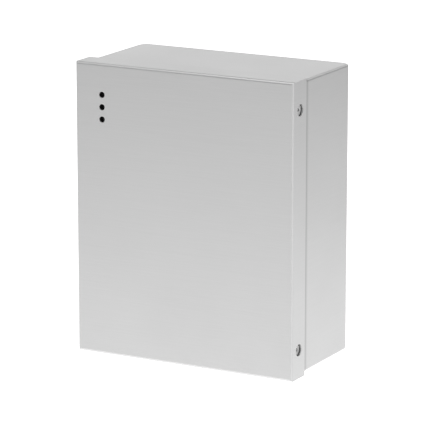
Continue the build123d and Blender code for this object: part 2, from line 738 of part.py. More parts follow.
with BuildPart(Plane.XY.offset(inner_floor + battery_height)) as battery_tabs:
    tab_y = battery_tab_from_front - battery_deep - battery_depth
    tab_x = battery_width / 2 - battery_tab_from_end
    with Locations((battery_x - tab_x, tab_y), (battery_x + tab_x, tab_y)):
        Box(battery_tab_width, battery_tab_width, battery_tab_thickness, align=ON_TOP)
        Box(battery_tab_thickness, battery_tab_width, battery_tab_height, align=ON_TOP)
battery_tabs.part.label = "battery_tabs"
export_step(battery_tabs.part, "parts/battery_tabs.step")

with BuildPart() as battery_pad:
    with BuildSketch(facing(sheet, battery_x, inner_floor + battery_height / 2)):
        Rectangle(battery_width - 2 * pad_from_side, battery_height - 2 * pad_from_end)
    extrude(amount=battery_from_back)
battery_pad.part.label = "battery_pad"
export_step(battery_pad.part, "parts/battery_pad.step")

# Battery bracket: a bent strap from the back of the box, over the battery and down its front
arm_z = inner_floor + battery_height + bracket_sheet / 2
foot_y = -sheet - bracket_sheet / 2
lip_y = -battery_deep - battery_depth - bracket_sheet / 2
with BuildPart() as battery_bracket:
    with BuildSketch(Plane.YZ.offset(battery_x - bracket_width / 2)):
        with BuildLine():
            FilletPolyline((foot_y, arm_z + bracket_foot), (foot_y, arm_z), (lip_y, arm_z),
                           (lip_y, arm_z - bracket_lip), radius=battery_lid_round + bracket_sheet / 2)
        trace(line_width=bracket_sheet)
    extrude(amount=bracket_width)
    with BuildSketch(facing(sheet, battery_x, inner_floor + battery_height + bracket_sheet
                            + bracket_foot / 2)):
        with GridLocations(bracket_screw_spread, 0, 2, 1):
            Circle(bracket_screw / 2 + hole_play)
    extrude(amount=bracket_sheet, mode=Mode.SUBTRACT)
battery_bracket.part.label = "battery_bracket"
export_step(battery_bracket.part, "parts/battery_bracket.step")

with BuildPart() as bracket_screws:
    head_face = facing(sheet + bracket_sheet, battery_x, arm_z + (bracket_sheet + bracket_foot) / 2)
    with BuildSketch(head_face):
        with GridLocations(bracket_screw_spread, 0, 2, 1):
            Circle(bracket_head / 2)
    extrude(amount=bracket_head_height)
    fillet(bracket_screws.faces().group_by(Axis.Y)[0].edges(), radius=bracket_head_round)
    with BuildSketch(head_face):
        with GridLocations(bracket_screw_spread, 0, 2, 1):
            Circle(bracket_screw / 2)
    extrude(amount=bracket_screw_back - bracket_sheet - sheet)
    with BuildSketch(facing(sheet + bracket_sheet + bracket_head_height, battery_x,
                            arm_z + (bracket_sheet + bracket_foot) / 2)):
        with GridLocations(bracket_screw_spread, 0, 2, 1):
            Rectangle(bracket_recess_width, screw_slot_width)
            Rectangle(screw_slot_width, bracket_recess_width)
    extrude(amount=-bracket_recess_depth, mode=Mode.SUBTRACT)
bracket_screws.part.label = "bracket_screws"
export_step(bracket_screws.part, "parts/bracket_screws.step")

# Earth stud with its washer and nut, on the back beside the battery
earth_place = facing(sheet, entry_x, earth_from_bottom - body_height / 2)
with BuildPart(earth_place) as earth_stud:
    Cylinder(earth_collar / 2, earth_collar_height, align=ON_TOP)
    Cylinder(earth_thread / 2, earth_length, align=ON_TOP)
    chamfer(earth_stud.faces().sort_by(Axis.Y)[0].edges(), length=thread_chamfer)
earth_stud.part.label = "earth_stud"
export_step(earth_stud.part, "parts/earth_stud.step")

with BuildPart(earth_place) as earth_nut:
    with Locations((0, 0, earth_collar_height)):
        Cylinder(washer_diameter / 2, washer_height, align=ON_TOP)
    with BuildSketch(facing(sheet + earth_collar_height + washer_height, entry_x,
                            earth_from_bottom - body_height / 2)):
        RegularPolygon(earth_nut_flats / 2, 6, major_radius=False)
    extrude(amount=earth_nut_height)
    Cylinder(earth_thread / 2 + nut_play, earth_length, align=ON_TOP, mode=Mode.SUBTRACT)
earth_nut.part.label = "earth_nut"
export_step(earth_nut.part, "parts/earth_nut.step")

# Rubber grommets in the cable entries: two flanges and a neck through the sheet
for (entry_x, entry_y), grommet_name in zip(entry_places, ("cable_grommet_rear", "cable_grommet_front")):
    with BuildPart(Plane.XY.offset(-body_height / 2)) as cable_grommet:
        with Locations((entry_x, entry_y, sheet)):
            Cylinder(grommet_diameter / 2, grommet_lip_height, align=ON_TOP)
        with Locations((entry_x, entry_y, 0)):
            Cylinder(grommet_diameter / 2, grommet_lip_height, align=BELOW)
        fillet(cable_grommet.faces().sort_by(Axis.Z)[0].edges(), radius=grommet_round)
        fillet(cable_grommet.faces().sort_by(Axis.Z)[-1].edges(), radius=grommet_round)
        with Locations((entry_x, entry_y, 0)):
            Cylinder(entry_hole / 2 - grommet_play, sheet, align=ON_TOP)
            Cylinder(entry_bore / 2, body_depth, mode=Mode.SUBTRACT)
    cable_grommet.part.label = grommet_name
    export_step(cable_grommet.part, f"parts/{grommet_name}.step")
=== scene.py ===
import math

import bmesh
import bpy
from mathutils import Matrix, Vector


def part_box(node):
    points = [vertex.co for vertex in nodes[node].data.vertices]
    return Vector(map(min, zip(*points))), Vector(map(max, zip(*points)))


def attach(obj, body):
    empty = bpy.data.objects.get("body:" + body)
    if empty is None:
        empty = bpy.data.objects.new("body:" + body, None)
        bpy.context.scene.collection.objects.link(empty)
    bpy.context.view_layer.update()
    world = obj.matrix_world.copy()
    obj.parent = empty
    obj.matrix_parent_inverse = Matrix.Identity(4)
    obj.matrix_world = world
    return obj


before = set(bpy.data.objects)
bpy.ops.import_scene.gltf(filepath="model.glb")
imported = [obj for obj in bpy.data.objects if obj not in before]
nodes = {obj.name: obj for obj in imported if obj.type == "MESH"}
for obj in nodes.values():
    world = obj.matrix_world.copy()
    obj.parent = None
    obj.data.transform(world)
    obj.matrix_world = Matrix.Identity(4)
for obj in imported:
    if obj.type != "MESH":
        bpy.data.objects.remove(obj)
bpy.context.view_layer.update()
scene = bpy.context.scene
scene.view_settings.view_transform = "Standard"


# Camera: a long lens, to the right of the cabinet and a little above it, looking down at it.
# The place and lens are the ones at which the cabinet's corners fall as they do in the photograph.
camera = bpy.data.objects.new("camera", bpy.data.cameras.new("camera"))
camera.data.lens = 252.6
camera.data.sensor_width = 36.0
camera.data.clip_end = 100.0
camera_turn = math.radians(28.46)
camera_tilt = math.radians(13.38)
camera.location = (1.1617, -2.2016, 0.5759)
camera.rotation_euler = (math.pi / 2 - camera_tilt, 0, camera_turn)
scene.collection.objects.link(camera)
scene.camera = camera


# Studio: a pale floor well below the cabinet, a large soft box overhead, a smaller one low on the
# right and two behind that light the folds. The room that the sheet metal mirrors is dark below
# the horizon, brightest a little above it and dimmer overhead.
def linear(hex_colour):
    channels = [int(hex_colour[at:at + 2], 16) / 255 for at in (1, 3, 5)]
    return [c / 12.92 if c <= 0.04045 else ((c + 0.055) / 1.055) ** 2.4 for c in channels] + [1.0]


def feed(owner, socket, value):
    if isinstance(value, bpy.types.NodeSocket):
        owner.node_tree.links.new(value, socket)
    else:
        socket.default_value = value


def add_node(owner, kind, inputs=None, **settings):
    """Adds a node to a material or to the world, with its settings, and with values or links."""
    node = owner.node_tree.nodes.new(kind)
    for name, value in settings.items():
        setattr(node, name, value)
    for name, value in (inputs or {}).items():
        feed(owner, node.inputs[name], value)
    return node


def set_ramp(ramp_node, stops):
    elements = ramp_node.color_ramp.elements
    while len(elements) < len(stops):
        elements.new(1.0)
    for element, (position, colour) in zip(elements, stops):
        element.position = position
        element.color = colour if isinstance(colour, list) else [colour, colour, colour, 1.0]
    return ramp_node.outputs["Color"]


def set_surface(material, inputs):
    surface = material.node_tree.nodes["Principled BSDF"]
    for name, value in inputs.items():
        feed(material, surface.inputs[name], value)


def new_material(name, colour, roughness, metallic=0.0):
    material = bpy.data.materials.new(name)
    material.use_nodes = True
    set_surface(material, {"Base Color": linear(colour), "Roughness": roughness, "Metallic": metallic})
    return material


world = bpy.data.worlds.new("studio")
scene.world = world
world.use_nodes = True
world.node_tree.nodes.clear()
looked_along = add_node(world, "ShaderNodeTexCoord")
height = add_node(world, "ShaderNodeSeparateXYZ", {"Vector": looked_along.outputs["Generated"]})
ramp_place = add_node(world, "ShaderNodeMapRange",
                      {"Value": height.outputs["Z"], "From Min": -1.0, "From Max": 1.0})
room_shades = set_ramp(
    add_node(world, "ShaderNodeValToRGB", {"Fac": ramp_place.outputs["Result"]}),
    [(0.0, 0.1), (0.47, 0.1), (0.6, 0.5), (0.73, 0.62), (0.85, 0.33), (1.0, 0.4)])
ray = add_node(world, "ShaderNodeLightPath")
backdrop_colour = add_node(world, "ShaderNodeMix", {
    0: ray.outputs["Is Camera Ray"], 6: room_shades, 7: (1, 1, 1, 1)}, data_type="RGBA")
background = add_node(world, "ShaderNodeBackground",
                      {"Color": backdrop_colour.outputs[2], "Strength": 1.0})
add_node(world, "ShaderNodeOutputWorld", {"Surface": background.outputs["Background"]})

floor_depth = 0.6
floor_size = 24.0
floor_mesh = bmesh.new()
bmesh.ops.create_grid(floor_mesh, x_segments=1, y_segments=1, size=floor_size / 2,
                      matrix=Matrix.Translation((0, 0, -floor_depth)))
floor = bpy.data.objects.new("floor", bpy.data.meshes.new("floor"))
floor_mesh.to_mesh(floor.data)
floor_mesh.free()
scene.collection.objects.link(floor)

# White laminate board: matt, and lifted to white where the camera sees it. In the metal it shows a
# painted pool of light: emission that is bright near the cabinet and fades out far off.
floor_near = 1.5
floor_far = 5.0
floor_in_metal = 0.84
floor_board = new_material("white_floor_board", "#f2f2f2", 0.8)
seen_by = add_node(floor_board, "ShaderNodeLightPath")
floor_place = add_node(floor_board, "ShaderNodeTexCoord")
floor_distance = add_node(floor_board, "ShaderNodeVectorMath", {
    0: floor_place.outputs["Object"], 1: (0.0, 0.0, -floor_depth)}, operation="DISTANCE")
# Painted pool of light: the floor's emission seen in the metal fades with distance from the cabinet
painted_floor_glow = add_node(floor_board, "ShaderNodeMapRange", {
    "Value": floor_distance.outputs["Value"], "From Min": floor_near, "From Max": floor_far,
    "To Min": floor_in_metal, "To Max": 0.0}, interpolation_type="SMOOTHSTEP")
seen_in_metal = add_node(floor_board, "ShaderNodeMath", {
    0: seen_by.outputs["Is Glossy Ray"], 1: painted_floor_glow.outputs[0]}, operation="MULTIPLY")
seen_directly = add_node(floor_board, "ShaderNodeMath", {
    0: seen_by.outputs["Is Camera Ray"], 1: seen_by.outputs["Is Transmission Ray"]}, operation="MAXIMUM")
lift = add_node(floor_board, "ShaderNodeMath", {
    0: seen_directly.outputs[0], 1: seen_in_metal.outputs[0]}, operation="MAXIMUM")
set_surface(floor_board, {"Emission Strength": lift.outputs[0], "Emission Color": (1, 1, 1, 1)})
floor.data.materials.append(floor_board)


def hang_soft_box(name, place, aim, size, power):
    lamp = bpy.data.objects.new(name, bpy.data.lights.new(name, "AREA"))
    lamp.data.shape = "RECTANGLE"
    lamp.data.size, lamp.data.size_y = size
    lamp.data.energy = power
    lamp.location = place
    lamp.rotation_euler = (Vector(aim) - Vector(place)).to_track_quat("-Z", "Y").to_euler()
    scene.collection.objects.link(lamp)


hang_soft_box("overhead_box", place=(-0.3, -0.7, 1.9), aim=(0, -0.05, 0), size=(1.6, 1.2), power=8.6)
hang_soft_box("back_box", place=(-0.75, 1.2, 0.5), aim=(0, -0.05, 0.12), size=(1.0, 0.6), power=1.27)
hang_soft_box("right_box", place=(2.2, -1.15, -0.15), aim=(0, -0.05, 0), size=(0.8, 0.6), power=1.9)
hang_soft_box("rear_box", place=(0.6, 2.0, 1.2), aim=(0, -0.05, 0.1), size=(0.8, 0.8), power=1.4)


# Box and cover: sheets of stainless steel, folded, welded and ground at the corners, then brushed
# to a satin finish. The brushing runs across the front, round the sides and along the top.
def dress(material, *node_names):
    for node_name in node_names:
        node = nodes[node_name]
        node.data.materials.clear()
        node.data.materials.append(material)


def add_relief(material, height, strength, depth=0.00005):
    """Adds a relief on top of any that the surface has."""
    inputs = {"Height": height, "Strength": strength, "Distance": depth}
    normal = material.node_tree.nodes["Principled BSDF"].inputs["Normal"]
    if normal.is_linked:
        inputs["Normal"] = normal.links[0].from_socket
    relief = add_node(material, "ShaderNodeBump", inputs)
    set_surface(material, {"Normal": relief.outputs["Normal"]})


def paint(material, share, colour, blend="MIX"):
    """Lays a colour over the one that the surface has, by a share or a mask."""
    base = material.node_tree.nodes["Principled BSDF"].inputs["Base Color"].links[0].from_socket
    painted = add_node(material, "ShaderNodeMix", {0: share, 6: base, 7: colour},
                       data_type="RGBA", blend_type=blend)
    set_surface(material, {"Base Color": painted.outputs[2]})


def show_metal(material, mask, colour):
    paint(material, mask, linear(colour))
    set_surface(material, {"Metallic": mask})


# Satin stainless steel: neutral grey, with long fine scratches that blur what it mirrors. Real
# brush marks are about 0.05 mm apart, too fine to show, so they are drawn at 0.5 mm.
brush_gap = 0.0005
brush_length = 0.045
faces_up = 0.7
satin_stainless = new_material("satin_stainless_steel", "#dcdcdc", 0.44, 1.0)
sheet_place = add_node(satin_stainless, "ShaderNodeTexCoord")
facing = add_node(satin_stainless, "ShaderNodeSeparateXYZ", {"Vector": sheet_place.outputs["Normal"]})
upward = add_node(satin_stainless, "ShaderNodeMath", {0: facing.outputs["Z"]}, operation="ABSOLUTE")
lies_flat = add_node(satin_stainless, "ShaderNodeMath", {0: upward.outputs[0], 1: faces_up},
                     operation="GREATER_THAN")
across_upright = add_node(satin_stainless, "ShaderNodeMapping", {
    "Vector": sheet_place.outputs["Object"],
    "Scale": (1 / brush_length, 1 / brush_length, 1 / brush_gap)})
across_flat = add_node(satin_stainless, "ShaderNodeMapping", {
    "Vector": sheet_place.outputs["Object"],
    "Scale": (1 / brush_length, 1 / brush_gap, 1 / brush_length)})
brush_place = add_node(satin_stainless, "ShaderNodeMix", {
    0: lies_flat.outputs[0], 4: across_upright.outputs[0], 5: across_flat.outputs[0]},
    data_type="VECTOR")
brush_marks = add_node(satin_stainless, "ShaderNodeTexNoise", {
    "Vector": brush_place.outputs[1], "Scale": 1.0, "Detail": 3.0, "Roughness": 0.65})
handling = add_node(satin_stainless, "ShaderNodeTexNoise", {
    "Vector": sheet_place.outputs["Object"], "Scale": 14.0, "Detail": 3.0, "Roughness": 0.6})
marks_and_handling = add_node(satin_stainless, "ShaderNodeMath", {
    0: brush_marks.outputs["Fac"], 1: handling.outputs["Fac"]}, operation="ADD")
sheet_roughness = add_node(satin_stainless, "ShaderNodeMapRange", {
    "Value": marks_and_handling.outputs[0], "From Min": 0.6, "From Max": 1.4,
    "To Min": 0.40, "To Max": 0.48})
sheet_shades = set_ramp(
    add_node(satin_stainless, "ShaderNodeValToRGB", {"Fac": brush_marks.outputs["Fac"]}),
    [(0.3, linear("#dadada")), (0.7, linear("#dedede"))])
set_surface(satin_stainless, {"Base Color": sheet_shades, "Roughness": sheet_roughness.outputs[0]})
add_relief(satin_stainless, brush_marks.outputs["Fac"], 0.07, 0.0001)

# A dark line of painted shadow lies where the cover's flange ends, 86.8 mm from the wall, standing in
# for the flange's shadow. It fades out on the box a few millimetres behind.
flange_shadow_front = -0.088
flange_shadow_rear = -0.076
sheet_at = add_node(satin_stainless, "ShaderNodeSeparateXYZ", {"Vector": sheet_place.outputs["Object"]})
flange_shadow_place = add_node(satin_stainless, "ShaderNodeMapRange", {
    "Value": sheet_at.outputs["Y"], "From Min": flange_shadow_front, "From Max": flange_shadow_rear})
painted_flange_shadow = set_ramp(add_node(satin_stainless, "ShaderNodeValToRGB", {"Fac": flange_shadow_place.outputs[0]}), [
    (0.0, 1.0), (0.06, 1.0), (0.12, 0.78), (0.5, 0.76), (0.62, 0.92), (0.8, 1.0)])
# Painted shadow: the sheet's colour is darkened in a band just behind the cover's flange
paint(satin_stainless, 1.0, painted_flange_shadow, "MULTIPLY")

# Painted shade darkens the sheet's colour in gaps and creases, such as between cover and box, by their
# occlusion
seam_width = 0.003
seam_shade = add_node(satin_stainless, "ShaderNodeAmbientOcclusion", {"Distance": seam_width}, samples=8)
seam_painted_shade = add_node(satin_stainless, "ShaderNodeMapRange", {
    "Value": seam_shade.outputs["AO"], "From Min": 0.3, "From Max": 0.7, "To Min": 0.6, "To Max": 0.0})
# Painted shade: black is laid into the colour where the ambient occlusion is strong
paint(satin_stainless, seam_painted_shade.outputs[0], linear("#000000"))
dress(satin_stainless, "cabinet_body", "cabinet_top", "cabinet_bottom", "cover")


# Lock screws and bushes: countersunk hexagon-socket screws, turned from stainless bar, and the
# threaded bushes welded behind the box's sides. Turned out, a head enters its hole in the cover.
def give_grain(material, grain, dark, light, smoothest, roughest, relief):
    """Lets shade, polish and relief vary in patches as wide as the grain."""
    place = add_node(material, "ShaderNodeTexCoord").outputs["Object"]
    grains = add_node(material, "ShaderNodeTexNoise", {
        "Vector": place, "Scale": 1 / grain, "Detail": 3.0, "Roughness": 0.55}).outputs["Fac"]
    shades = set_ramp(add_node(material, "ShaderNodeValToRGB", {"Fac": grains}),
                      [(0.35, linear(dark)), (0.65, linear(light))])
    polish = add_node(material, "ShaderNodeMapRange", {
        "Value": grains, "From Min": 0.3, "From Max": 0.7, "To Min": smoothest, "To Max": roughest})
    set_surface(material, {"Base Color": shades, "Roughness": polish.outputs[0]})
    add_relief(material, grains, relief)
    return place


# Turned and bead-blasted stainless steel: pale and nearly matt, with tool marks in rings round each
# screw's own axis. Real tool marks are 0.1 mm apart, drawn here at 0.3 mm so that they show.
lock_y = -0.098
lock_z = 0.1004
tool_mark = 0.0003
tool_mark_depth = 0.00003
turned_steel = new_material("blasted_stainless_steel", "#dcdcdc", 0.6, 0.3)
turned_place = give_grain(turned_steel, 0.0012, "#f0f0f0", "#fafafa", 0.55, 0.65, 0.1)
screw_at = add_node(turned_steel, "ShaderNodeSeparateXYZ", {"Vector": turned_place})
screw_up = add_node(turned_steel, "ShaderNodeMath", {0: screw_at.outputs["Z"]}, operation="ABSOLUTE")
screw_z = add_node(turned_steel, "ShaderNodeMath", {
    0: screw_up.outputs[0], 1: lock_z}, operation="SUBTRACT")
screw_y = add_node(turned_steel, "ShaderNodeMath", {
    0: screw_at.outputs["Y"], 1: lock_y}, operation="SUBTRACT")
screw_face = add_node(turned_steel, "ShaderNodeCombineXYZ", {
    "X": screw_y.outputs[0], "Y": screw_z.outputs[0]})
from_axis = add_node(turned_steel, "ShaderNodeVectorMath", {0: screw_face.outputs[0]}, operation="LENGTH")
turn_marks = add_node(turned_steel, "ShaderNodeMath", {
    0: from_axis.outputs["Value"], 1: 2 * math.pi / tool_mark}, operation="MULTIPLY")
turn_wave = add_node(turned_steel, "ShaderNodeMath", {0: turn_marks.outputs[0]}, operation="SINE")
add_relief(turned_steel, turn_wave.outputs[0], 0.15, tool_mark_depth)

# Painted shade darkens the sockets, which are 3 mm across flats, as their depth would
socket_reach = 0.0016
socket_place = add_node(turned_steel, "ShaderNodeMapRange", {
    "Value": from_axis.outputs["Value"], "From Min": 0.0, "From Max": 2 * socket_reach})
socket_painted_shade = set_ramp(add_node(turned_steel, "ShaderNodeValToRGB", {"Fac": socket_place.outputs[0]}),
                       [(0.0, 0.25), (0.42, 0.25), (0.5, 1.0)])
# Painted shade: the colour is darkened near each screw's axis, in its socket
paint(turned_steel, 1.0, socket_painted_shade, "MULTIPLY")
dress(turned_steel, *(f"lock_{kind}_{level}_{side}" for kind in ("screw", "bush")
                      for level in ("lower", "upper") for side in ("left", "right")))


def turn(profile, steps=24, place=Matrix()):
    """Turns a profile of (radius, height) points about Z, and then puts it in its place."""
    form = bmesh.new()
    corners = [form.verts.new((radius, 0, height)) for radius, height in profile]
    edges = [form.edges.new(pair) for pair in zip(corners, corners[1:])]
    bmesh.ops.spin(form, geom=corners + edges, cent=(0, 0, 0), axis=(0, 0, 1),
                   angle=2 * math.pi, steps=steps, use_merge=True)
    bmesh.ops.transform(form, matrix=place, verts=form.verts[:])
    return form


def finish_piece(name, form, material, body="cabinet", places=(Matrix(),), crease=40.0):
    """Makes one piece of a body, with a copy of the form at each of its places."""
    bmesh.ops.remove_doubles(form, verts=form.verts[:], dist=0.000001)
    bmesh.ops.recalc_face_normals(form, faces=form.faces[:])
    pattern = bpy.data.meshes.new(name + "_pattern")
    form.to_mesh(pattern)
    form.clear()
    for place in places:
        placed_from = len(form.verts)
        form.from_mesh(pattern)
        form.verts.ensure_lookup_table()
        bmesh.ops.transform(form, matrix=place, verts=form.verts[placed_from:])
    mesh = bpy.data.meshes.new(name)
    form.to_mesh(mesh)
    form.free()
    bpy.data.meshes.remove(pattern)
    mesh.shade_smooth()
    mesh.set_sharp_from_angle(angle=math.radians(crease))
    mesh.materials.append(material)
    piece = bpy.data.objects.new(name, mesh)
    scene.collection.objects.link(piece)
    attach(piece, body)
    return piece


# Places that face the front, the wall, right and left: a form's own +Z points that way
def facing_front(x, y, z):
    return Matrix.Translation((x, y, z)) @ Matrix.Rotation(math.pi / 2, 4, "X")


def facing_wall(x, y, z):
    return Matrix.Translation((x, y, z)) @ Matrix.Rotation(-math.pi / 2, 4, "X")


def facing_side(side, x, y, z):
    return Matrix.Translation((x, y, z)) @ Matrix.Rotation(side * math.pi / 2, 4, "Y")


def all_of(form):
    return form.verts[:] + form.edges[:] + form.faces[:]


# Fillet welds hold the bushes behind the box's sides. These and the other small pieces reach a
# little way into what carries them, by the bite.
bite = 0.0002
bush_radius = 0.007
weld_leg = 0.0013
weld_throat = 0.45 * weld_leg
side_inside = 0.0988
weld_profile = [(bush_radius - bite, -bite), (bush_radius + weld_leg, -bite),
                (bush_radius + weld_leg, bite / 2), (bush_radius + weld_throat, weld_throat),
                (bush_radius, weld_leg), (bush_radius - bite, weld_leg), (bush_radius - bite, -bite)]
finish_piece("bush_welds", turn(weld_profile, 32), turned_steel,
             places=[facing_side(-side, side * side_inside, lock_y, level * lock_z)
                     for side in (-1, 1) for level in (-1, 1)])


# Seal: a flat ring of closed-cell foam tape, glued inside the cover. Die-cut from sheet.
# Neoprene foam: dead matt black, with open cells about 0.5 mm wide along its cut edges.
foam_cell = 0.0005
neoprene_foam = new_material("neoprene_foam", "#191919", 0.95)
foam_place = give_grain(neoprene_foam, 0.002, "#141414", "#202020", 0.9, 1.0, 0.2)
foam_cells = add_node(neoprene_foam, "ShaderNodeTexVoronoi", {
    "Vector": foam_place, "Scale": 1 / foam_cell})
add_relief(neoprene_foam, foam_cells.outputs["Distance"], 0.5, 0.0002)
dress(neoprene_foam, "cover_seal", "battery_pad")


# Indicators: a moulded shroud pressed against the cover's inner face, three small lamps in it and
# the board that carries them, held by nuts on two weld studs.
# Moulded black plastic: matt, spark-eroded grain about 0.4 mm.
black_plastic = new_material("moulded_black_plastic", "#0a0a0a", 0.8)
give_grain(black_plastic, 0.0004, "#080808", "#0e0e0e", 0.75, 0.9, 0.15)
set_surface(black_plastic, {"Specular IOR Level": 0.25})
dress(black_plastic, "indicator_shroud", "indicator_header", "board_header")

# Smoke-tinted epoxy: the lamps are off, and their lenses look nearly black
tinted_epoxy = new_material("smoke_tinted_epoxy", "#070707", 0.3)
give_grain(tinted_epoxy, 0.003, "#050505", "#0a0a0a", 0.22, 0.34, 0.03)
set_surface(tinted_epoxy, {"Specular IOR Level": 0.3})
dress(tinted_epoxy, "indicator_led_1", "indicator_led_2", "indicator_led_3")

# Printed board: glass-fibre laminate under green solder mask. Copper tracks 0.6 mm wide, 2.5 mm
# apart, show lighter through the mask, and bare tinned pads stand between them.
track_spacing = 0.0025
printed_board = new_material("solder_masked_laminate", "#1d5a33", 0.45)
print_place = give_grain(printed_board, 0.003, "#184e2b", "#1f6038", 0.35, 0.5, 0.05)
print_face = add_node(printed_board, "ShaderNodeMapping", {
    "Vector": print_place, "Rotation": (math.pi / 2, 0, 0)})
tracks = add_node(
    printed_board, "ShaderNodeTexBrick",
    {"Vector": print_face.outputs[0], "Color1": (0, 0, 0, 1), "Color2": (0, 0, 0, 1),
     "Mortar": (1, 1, 1, 1), "Scale": 1 / track_spacing, "Mortar Size": 0.12, "Mortar Smooth": 0.1,
     "Brick Width": 4.6, "Row Height": 1.0},
    offset=0.37, offset_frequency=3, squash=1.7, squash_frequency=4)
pads = add_node(printed_board, "ShaderNodeTexVoronoi", {
    "Vector": print_face.outputs[0], "Scale": 0.4 / track_spacing, "Randomness": 0.8},
    voronoi_dimensions="2D")
on_pad = add_node(printed_board, "ShaderNodeMath", {
    0: pads.outputs["Distance"], 1: 0.12}, operation="LESS_THAN")
paint(printed_board, tracks.outputs["Color"], linear("#3a8a55"))
show_metal(printed_board, on_pad.outputs[0], "#b9bcbd")
add_relief(printed_board, tracks.outputs["Fac"], 0.4)
dress(printed_board, "indicator_board", "power_board")

# Zinc-plated steel: cool grey, with faint crystals about 5 mm across and a soft shine
zinc_crystal = 0.005
zinc_plated = new_material("zinc_plated_steel", "#b4b8bc", 0.42, 1.0)
zinc_place = give_grain(zinc_plated, 0.0008, "#aeb2b6", "#babec2", 0.34, 0.48, 0.08)
crystals = add_node(zinc_plated, "ShaderNodeTexVoronoi", {"Vector": zinc_place, "Scale": 1 / zinc_crystal})
crystal_shade = add_node(zinc_plated, "ShaderNodeSeparateColor", {"Color": crystals.outputs["Color"]})
crystal_light = set_ramp(
    add_node(zinc_plated, "ShaderNodeValToRGB", {"Fac": crystal_shade.outputs["Red"]}),
    [(0.0, linear("#e6e8ea")), (1.0, linear("#ffffff"))])
paint(zinc_plated, 1.0, crystal_light, "MULTIPLY")
dress(zinc_plated, "indicator_studs", "indicator_nuts", "mounting_plate", "plate_studs", "plate_nuts",
      "battery_bracket")


# Threads stand a little proud of their studs, beyond the nuts, one ridge to each turn. They stop
# just short of the stud's plain end.
def thread_profile(radius, length, pitch, depth):
    profile = [(0.0, 0.0)]
    for ridge in range(int(length / pitch)):
        profile += [(radius - depth, ridge * pitch), (radius + depth, (ridge + 0.5) * pitch)]
    return profile + [(radius - depth, length), (0.0, length)]


def middle_of(node_name):
    low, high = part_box(node_name)
    return [(near + far) / 2 for near, far in zip(low, high)]


stud_point = 0.0003
lamp_stud_radius = 0.0015
lamp_stud_shoulder = 0.0055
lamp_nut_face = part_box("indicator_nuts")[1][1]
lamp_stud_x = middle_of("indicator_studs")[0]
stud_low, stud_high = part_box("indicator_studs")
finish_piece("indicator_stud_threads",
             turn(thread_profile(lamp_stud_radius, stud_high[1] - stud_point - lamp_nut_face,
                                 pitch=0.0005, depth=0.00008)),
             zinc_plated, "cover_assembly",
             [facing_wall(lamp_stud_x, lamp_nut_face, z)
              for z in (stud_low[2] + lamp_stud_shoulder / 2, stud_high[2] - lamp_stud_shoulder / 2)],
             crease=20.0)


def add_rod(form, radius, length, place, sides=8):
    bmesh.ops.create_cone(form, cap_ends=True, cap_tris=False, segments=sides, radius1=radius,
                          radius2=radius, depth=length, matrix=place)


# Small resistors for the lamps, and the solder joints of their leads, on the board's rear face
laid_along_x = Matrix.Rotation(math.pi / 2, 4, "Y")


def axial_part(length, body_radius, end_radius, lead_radius, lead_reach, rise):
    """A wire-ended part that lies along X, with its leads bent down into the board at z = 0."""
    half = length / 2
    reach = lead_reach + lead_radius
    form = turn([(0.0, -reach), (lead_radius, -reach), (lead_radius, -half), (end_radius, -0.94 * half),
                 (end_radius, -0.6 * half), (body_radius, -0.5 * half), (body_radius, 0.5 * half),
                 (end_radius, 0.6 * half), (end_radius, 0.94 * half), (lead_radius, half),
                 (lead_radius, reach), (0.0, reach)], 12, Matrix.Translation((0, 0, rise)) @ laid_along_x)
    lead_length = rise + lead_radius
    for end in (-1, 1):
        add_rod(form, lead_radius, lead_length, Matrix.Translation((end * lead_reach, 0, lead_length / 2)))
    return form


# Lacquered ceramic: the resistors' coat, beige with brown rings about 1.2 mm apart
ring_spacing = 0.0012
resistor_coat = new_material("lacquered_ceramic", "#c9b48c", 0.4)
coat_place = give_grain(resistor_coat, 0.001, "#c2ac84", "#d2bf9a", 0.3, 0.45, 0.05)
coat_rings = add_node(resistor_coat, "ShaderNodeTexWave", {
    "Vector": coat_place, "Scale": math.pi / 10 / ring_spacing}, wave_type="BANDS", bands_direction="X")
on_ring = add_node(resistor_coat, "ShaderNodeMath", {
    0: coat_rings.outputs["Fac"], 1: 0.8}, operation="GREATER_THAN")
paint(resistor_coat, on_ring.outputs[0], linear("#5a3a24"))

light_x = -0.0764
light_middle = 0.088
light_spacing = 0.0104
lamp_heights = [light_middle + step * light_spacing for step in (-1, 0, 1)]
lamp_board_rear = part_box("indicator_board")[1][1]
lamp_resistor_x = light_x + 0.008
finish_piece("lamp_resistors",
             axial_part(length=0.0036, body_radius=0.0007, end_radius=0.00085, lead_radius=0.0002,
                        lead_reach=0.0025, rise=0.001),
             resistor_coat, "cover_assembly",
             [facing_wall(lamp_resistor_x, lamp_board_rear, z) for z in lamp_heights])

# Solder: bright tin, drawn up in a cone round each lead
solder_tin = new_material("solder_tin", "#c4c6c8", 0.28, 1.0)
give_grain(solder_tin, 0.0006, "#b8babc", "#d0d2d4", 0.2, 0.38, 0.1)
joint_radius = 0.0009
joint_profile = [(0.0, 0.0009), (0.00025, 0.00085), (0.0004, 0.0003), (joint_radius, 0.0),
                 (joint_radius, -bite / 2), (0.0, -bite / 2)]
lamp_lead = 0.00127
finish_piece("lamp_solder_joints", turn(joint_profile, 12), solder_tin, "cover_assembly",
             [facing_wall(light_x + side * lamp_lead, lamp_board_rear, z)
              for z in lamp_heights for side in (-1, 1)])


# Grommets: two-flanged rings moulded in rubber, pressed into the cable entries.
# EPDM rubber: matt black with a dusty grey bloom in patches of a few millimetres.
epdm_rubber = new_material("epdm_rubber", "#161616", 0.8)
give_grain(epdm_rubber, 0.0035, "#131313", "#1d1d1d", 0.7, 0.9, 0.12)
dress(epdm_rubber, "cable_grommet_front", "cable_grommet_rear")


